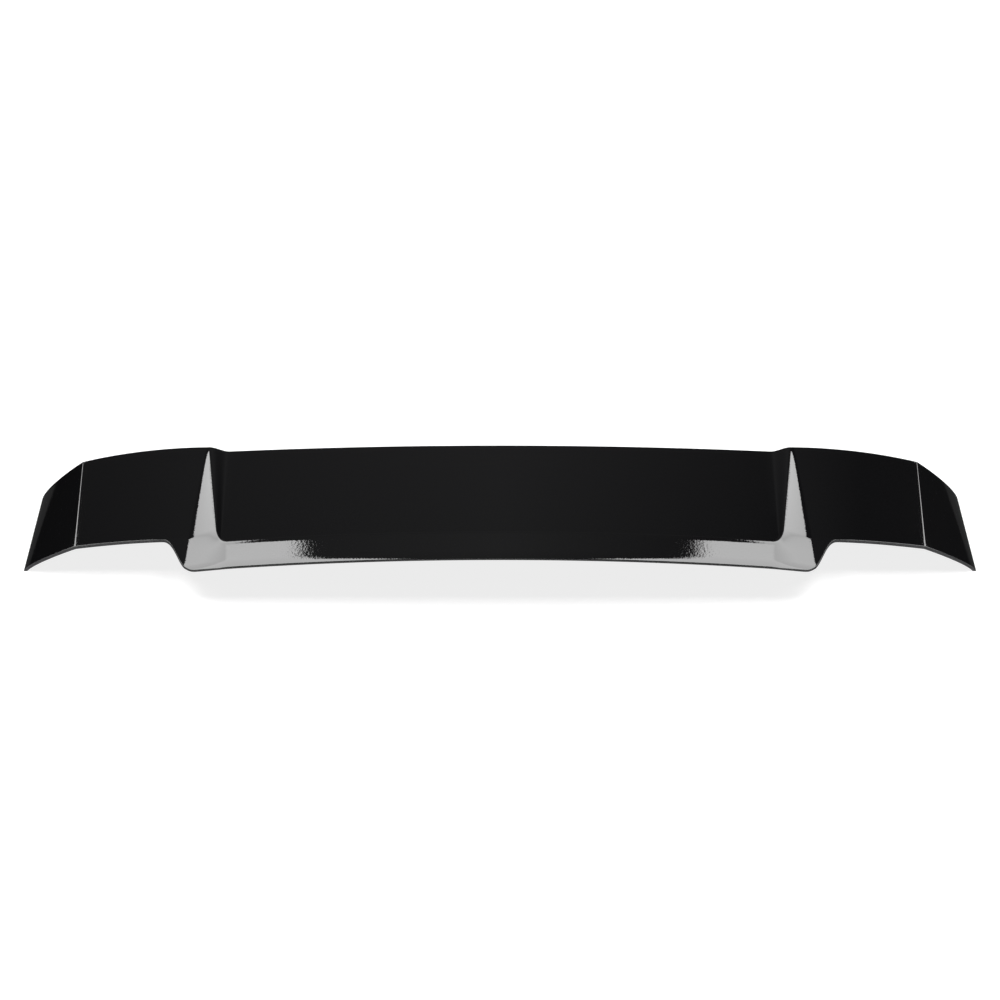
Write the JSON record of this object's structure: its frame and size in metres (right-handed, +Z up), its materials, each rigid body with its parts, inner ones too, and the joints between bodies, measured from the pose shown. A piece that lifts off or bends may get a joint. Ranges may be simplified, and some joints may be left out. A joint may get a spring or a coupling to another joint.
{
  "type": "roof spoiler",
  "caption": "One-piece gloss black spoiler for the top of a rear door, with a sunken middle panel, a rear lip and two wings that turn down at their ends.",
  "frame": {"origin": "below the middle of the outline, in the plane of the two side edges", "axes": "+X across the car, +Y towards the front of the car, +Z up"},
  "size_m": [1.21, 0.2954, 0.0803],
  "materials": {
    "gloss_black": "high-gloss black lacquer"
  },
  "bodies": {
    "root": {"spoiler_shell": "gloss_black"}
  },
  "joints": []
}
